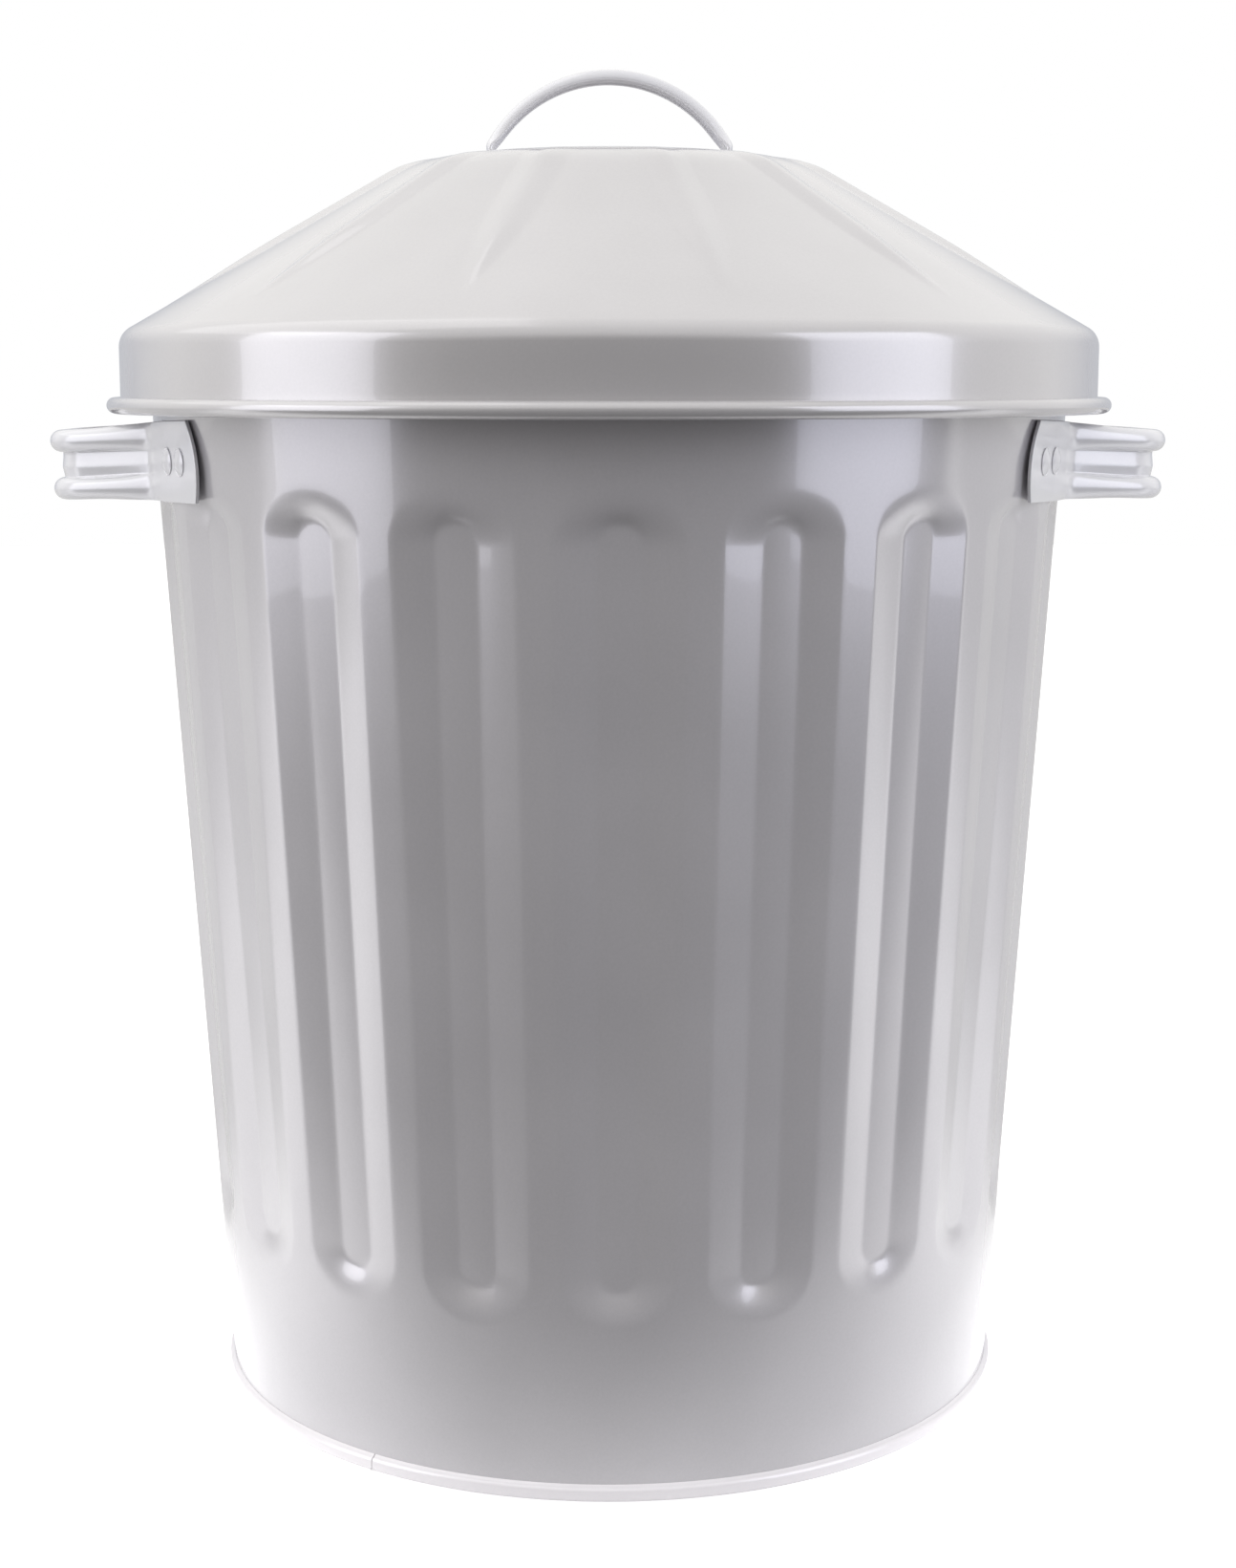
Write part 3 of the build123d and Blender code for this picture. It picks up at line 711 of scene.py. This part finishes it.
def lid_handle():
    route = bow_route()
    foot_run = route.stretches[0][0]
    half_sheet = BOW_FLAT + BOW_CURL + BOW_LEG

    def place(u, v):
        side = 1 if v >= 0.5 else -1
        sheet = abs(2 * v - 1) * half_sheet
        cut = FOOT_END_CUT * (sheet / half_sheet) ** 4
        distance = cut + u * (route.length - 2 * cut)
        near_end = min(distance, route.length - distance)
        turned = soft_step((near_end - foot_run - BOW_CURL_START) / BOW_CURL_RUN, 0.25)
        bent = max(0.0, min(sheet, BOW_FLAT + BOW_CURL) - BOW_FLAT)
        full = max(turned, 1e-3) * math.pi / 2
        curve = BOW_CURL / full
        angle = bent / curve
        leg = max(0.0, sheet - BOW_FLAT - BOW_CURL)
        across = min(sheet, BOW_FLAT) + curve * math.sin(angle) + leg * math.cos(angle)
        under = curve * (1 - math.cos(angle)) + leg * math.sin(angle)
        point, heading = route.at(distance)
        inwards = Vector((math.sin(heading), -math.cos(heading)))
        spot = point + inwards * under
        return Vector((spot.x, side * across, spot.y))

    bm = strap_sheet(160, 40, place)
    piece = add_piece("lid_handle_bow", bm, "lid", HANDLE_ENAMEL, "handle_enamel", "lid_handle", crease=60)
    thicken(piece, BOW_STRAP, 0.35 * MM)


# ---- rivets ----------------------------------------------------------------------------------
RIVET_HEAD_HEIGHT = 1.3 * MM
RIVET_TAIL_HEIGHT = 0.8 * MM
RIVET_TAIL_EXTRA = 1.2 * MM
RIVET_HEAD_EDGE = 0.15 * MM  # the head's dome stops this far short of its rolled edge
RIVET_EDGE_HEIGHT = 0.25 * MM
RIVET_TAIL_EDGE = 0.35 * MM
WALL_BULGE = 0.2 * MM        # a tail stands off the curved wall by this much at its edge
SIDE_RIVET_PITCH = 11.4 * MM


def rivet_mesh(head_radius, shank_radius, head_seat, tail_seat):
    """Round-head rivet along Z with a rolled edge to its head and a hammered tail."""
    dome = (head_radius ** 2 + RIVET_HEAD_HEIGHT ** 2) / (2 * RIVET_HEAD_HEIGHT)
    reach = math.degrees(math.asin((head_radius - RIVET_HEAD_EDGE) / dome))
    top = head_seat + RIVET_HEAD_HEIGHT
    tail_radius = shank_radius + RIVET_TAIL_EXTRA
    section = arc((0, top - dome), dome, 90 - 0.5, 90 - reach, 9)
    section += [(head_radius, head_seat + RIVET_EDGE_HEIGHT), (head_radius - 0.1 * MM, head_seat)]
    section += [(shank_radius, head_seat), (shank_radius, tail_seat), (tail_radius - 0.2 * MM, tail_seat)]
    tail_middle = (tail_radius - RIVET_TAIL_EDGE, tail_seat - RIVET_TAIL_EDGE)
    section += arc(tail_middle, RIVET_TAIL_EDGE, 0, -90, 4)
    section.append((0.3 * MM, tail_seat - RIVET_TAIL_HEIGHT))
    bm = bmesh.new()
    verts = [bm.verts.new((radius, 0, height)) for radius, height in section]
    edges = [bm.edges.new(pair) for pair in zip(verts, verts[1:])]
    bmesh.ops.spin(
        bm, geom=verts + edges, cent=(0, 0, 0), axis=(0, 0, 1), angle=math.tau, steps=40,
        use_merge=True, use_duplicate=False, dvec=(0, 0, 0), use_normal_flip=False,
    )
    bmesh.ops.holes_fill(bm, edges=[edge for edge in bm.edges if edge.is_boundary], sides=0)
    bmesh.ops.recalc_face_normals(bm, faces=bm.faces)
    return bm


def side_rivets():
    radius = wall_radius(HANDLE_HEIGHT)
    lean_cos, lean_sin = math.cos(WALL_LEAN), math.sin(WALL_LEAN)
    for name, hand in (("left", -1), ("right", 1)):
        for end, azimuth in (("front", PLATE_AZIMUTH), ("rear", 180 - PLATE_AZIMUTH)):
            turn = math.radians(hand * azimuth)
            outwards = Vector((math.sin(turn) * lean_cos, -math.cos(turn) * lean_cos, -lean_sin))
            aside = Vector((math.cos(turn), math.sin(turn), 0))
            seat = Vector((radius * math.sin(turn), -radius * math.cos(turn), HANDLE_HEIGHT))
            outward = hand if end == "front" else -hand
            for spot, shift in (("outer", outward), ("inner", -outward)):
                place = Matrix.Translation(seat + aside * shift * SIDE_RIVET_PITCH / 2)
                place @= outwards.to_track_quat("Z", "Y").to_matrix().to_4x4()
                head_seat, tail_seat = SIDE_STRAP + 2 * SEAM_GAP, -WALL_BULGE - SHEET - SEAM_GAP
                bm = rivet_mesh(4 * MM, 2 * MM, head_seat, tail_seat)
                bmesh.ops.transform(bm, matrix=place, verts=bm.verts)
                node = f"rivet_{name}_{end}_{spot}"
                add_piece(f"{node}_head", bm, "bin", HANDLE_ENAMEL, "rivet_enamel", node)


def lid_rivets():
    for name in ("left", "right"):
        for spot in ("inner", "outer"):
            node = f"lid_rivet_{name}_{spot}"
            low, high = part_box(node)
            bm = rivet_mesh(3.6 * MM, 1.9 * MM, BOW_STRAP + 2 * SEAM_GAP, -SHEET - SEAM_GAP)
            bmesh.ops.translate(bm, vec=((low.x + high.x) / 2, 0, CROWN_HEIGHT), verts=bm.verts)
            add_piece(f"{node}_head", bm, "lid", HANDLE_ENAMEL, "rivet_enamel", node)


# ---- pieces that keep their CAD shape --------------------------------------------------------
def finish_node(node, material):
    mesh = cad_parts[node].data
    mesh.materials.clear()
    mesh.materials.append(material)


body_shell()
base_hoop()
for handle_name, handle_hand in (("left", -1), ("right", 1)):
    side_handle(handle_name, handle_hand)
side_rivets()
lid_shell()
lid_handle()
lid_rivets()
finish_node("base_pan", BODY_ENAMEL)
finish_node("rim_wire", STEEL_WIRE)
finish_node("lid_rim_wire", STEEL_WIRE)


# ---- floor and light -------------------------------------------------------------------------
def pale_floor():
    """White floor painted with light: the camera sees an even glowing white, and the bin mirrors, and is
    lit by, a glowing pool of painted light round its foot and a dim floor in front.
    """
    material, tree, output, place = new_material("white_floor_painted_glow")
    where = place.outputs["Object"]
    spot = add_node(tree, "ShaderNodeMapping", {"Location": (0, -0.06, 0)}, Vector=where)
    reach = add_node(tree, "ShaderNodeVectorMath", {"operation": "LENGTH"}, Vector=spot.outputs["Vector"])
    along = add_node(tree, "ShaderNodeSeparateXYZ", Vector=where)
    smooth = {"interpolation_type": "SMOOTHSTEP"}
    patch = add_node(
        tree, "ShaderNodeMapRange",
        {**smooth, "From Min": 0.135, "From Max": 0.20, "To Min": 1.0, "To Max": 0.0},
        Value=reach.outputs["Value"],
    )
    behind = add_node(
        tree, "ShaderNodeMapRange", {**smooth, "From Min": -0.25, "From Max": -0.02},
        Value=along.outputs["Y"],
    )
    far = add_node(
        tree, "ShaderNodeMapRange",
        {**smooth, "From Min": -0.02, "From Max": 0.2, "To Min": 1.0, "To Max": 0.5},
        Value=along.outputs["Y"],
    )
    either = add_node(tree, "ShaderNodeMath", {"operation": "MAXIMUM"})
    tree.links.new(patch.outputs["Result"], either.inputs[0])
    tree.links.new(behind.outputs["Result"], either.inputs[1])
    lit = add_node(tree, "ShaderNodeMath", {"operation": "MULTIPLY"})
    tree.links.new(either.outputs[0], lit.inputs[0])
    tree.links.new(far.outputs["Result"], lit.inputs[1])
    # painted light: the floor itself glows, 0.55 round the foot falling to 0.30 further out, a pool of
    # light that only reflections and bounced light see
    glow = add_node(
        tree, "ShaderNodeMapRange",
        {"From Min": 0.15, "From Max": 0.20, "To Min": 0.55, "To Max": 0.30}, Value=reach.outputs["Value"],
    )
    acrylic = {"Roughness": 0.7, "Base Color": linear("#F2F2F2"), "Emission Color": linear("#FFFFFF")}
    white = add_node(tree, "ShaderNodeBsdfPrincipled", acrylic, Emission_Strength=glow.outputs["Result"])
    # the camera sees an even white that glows at 0.46
    plain = add_node(tree, "ShaderNodeBsdfPrincipled", {**acrylic, "Emission Strength": 0.46})
    dim = add_node(tree, "ShaderNodeBsdfPrincipled", {"Roughness": 0.8, "Base Color": linear("#444342")})
    mirrored = add_node(tree, "ShaderNodeMixShader", Fac=lit.outputs[0])
    tree.links.new(dim.outputs["BSDF"], mirrored.inputs[1])
    tree.links.new(white.outputs["BSDF"], mirrored.inputs[2])
    seen = tree.nodes.new("ShaderNodeLightPath")
    surface = add_node(tree, "ShaderNodeMixShader", Fac=seen.outputs["Is Camera Ray"])
    tree.links.new(mirrored.outputs["Shader"], surface.inputs[1])
    tree.links.new(plain.outputs["BSDF"], surface.inputs[2])
    tree.links.new(surface.outputs["Shader"], output.inputs["Surface"])
    bm = bmesh.new()
    bmesh.ops.create_circle(bm, cap_ends=True, radius=4.0, segments=96)
    mesh = bpy.data.meshes.new("floor")
    bm.to_mesh(mesh)
    bm.free()
    mesh.materials.append(material)
    floor = bpy.data.objects.new("floor", mesh)
    bpy.context.scene.collection.objects.link(floor)


def studio_world():
    """White studio walls at the sides and back, and a dim room in front of the bin."""
    world = bpy.data.worlds.new("studio")
    world.use_nodes = True
    tree = world.node_tree
    tree.nodes.clear()
    output = tree.nodes.new("ShaderNodeOutputWorld")
    place = tree.nodes.new("ShaderNodeTexCoord")
    split = add_node(tree, "ShaderNodeSeparateXYZ", Vector=place.outputs["Generated"])
    # how far a direction is from the dim room: backwards or upwards
    above = add_node(tree, "ShaderNodeMath", {"operation": "MAXIMUM", 1: 0.0})
    away = add_node(tree, "ShaderNodeMath", {"operation": "MULTIPLY_ADD", 1: 0.8})
    tree.links.new(split.outputs["Z"], above.inputs[0])
    tree.links.new(above.outputs[0], away.inputs[0])
    tree.links.new(split.outputs["Y"], away.inputs[2])
    share = add_node(
        tree, "ShaderNodeMapRange", {"From Min": -1.0, "From Max": 0.5}, Value=away.outputs[0]
    )
    room = add_node(tree, "ShaderNodeValToRGB", Fac=share.outputs["Result"])
    room.color_ramp.elements[0].color = linear("#787674")
    room.color_ramp.elements[1].color = linear("#FBFAF8")
    for position, colour in ((0.12, "#7F7D7A"), (0.25, "#A5A3A0"), (0.34, "#CBC9C7"), (0.42, "#E0DFDD")):
        room.color_ramp.elements.new(position).color = linear(colour)
    # a grey flag stands low down behind the bin, so that its edges don't melt into the white
    low = add_node(
        tree, "ShaderNodeMapRange", {"From Min": 0.1, "From Max": 0.4, "To Min": 1.0, "To Max": 0.0},
        Value=split.outputs["Z"],
    )
    back = add_node(
        tree, "ShaderNodeMapRange", {"From Min": 0.45, "From Max": 0.8}, Value=split.outputs["Y"]
    )
    flag = add_node(tree, "ShaderNodeMath", {"operation": "MULTIPLY"})
    tree.links.new(low.outputs["Result"], flag.inputs[0])
    tree.links.new(back.outputs["Result"], flag.inputs[1])
    walls = add_node(
        tree, "ShaderNodeMix", {"data_type": "RGBA", 7: linear("#C2C4CA")}, Factor=flag.outputs[0]
    )
    tree.links.new(room.outputs["Color"], walls.inputs[6])
    seen = tree.nodes.new("ShaderNodeLightPath")
    shade = add_node(
        tree, "ShaderNodeMix", {"data_type": "RGBA"}, Factor=seen.outputs["Is Camera Ray"]
    )
    tree.links.new(walls.outputs[2], shade.inputs[6])
    shade.inputs[7].default_value = linear("#FFFFFF")
    glow = add_node(tree, "ShaderNodeBackground", Color=shade.outputs[2])
    tree.links.new(glow.outputs["Background"], output.inputs["Surface"])
    bpy.context.scene.world = world


def softbox(name, place, target, width, height, power, colour="#FFFFFF"):
    data = bpy.data.lights.new(name, "AREA")
    data.shape = "RECTANGLE"
    data.size, data.size_y = width, height
    data.energy = power
    data.color = linear(colour)[:3]
    light = bpy.data.objects.new(name, data)
    bpy.context.scene.collection.objects.link(light)
    light.location = place
    way = Vector(target) - Vector(place)
    light.rotation_mode = "QUATERNION"
    light.rotation_quaternion = way.to_track_quat("-Z", "Y")
    light.visible_camera = False


def beside(azimuth, distance, height):
    turn = math.radians(azimuth)
    return distance * math.sin(turn), -distance * math.cos(turn), height


pale_floor()
studio_world()
middle_height = cad_high.z / 2
softbox("top_softbox", (-0.8, 0.1, 1.4), (0, 0, cad_high.z), 1.4, 1.4, 2.4)
softbox("left_window", beside(-69, 1.25, 0.55), (0, 0, middle_height), 0.84, 1.1, 4.6, "#F1F1FA")
softbox("right_window", beside(59, 1.25, 0.55), (0, 0, middle_height), 0.84, 1.1, 4.7, "#E9EBFA")
bpy.context.scene.view_settings.view_transform = "Standard"
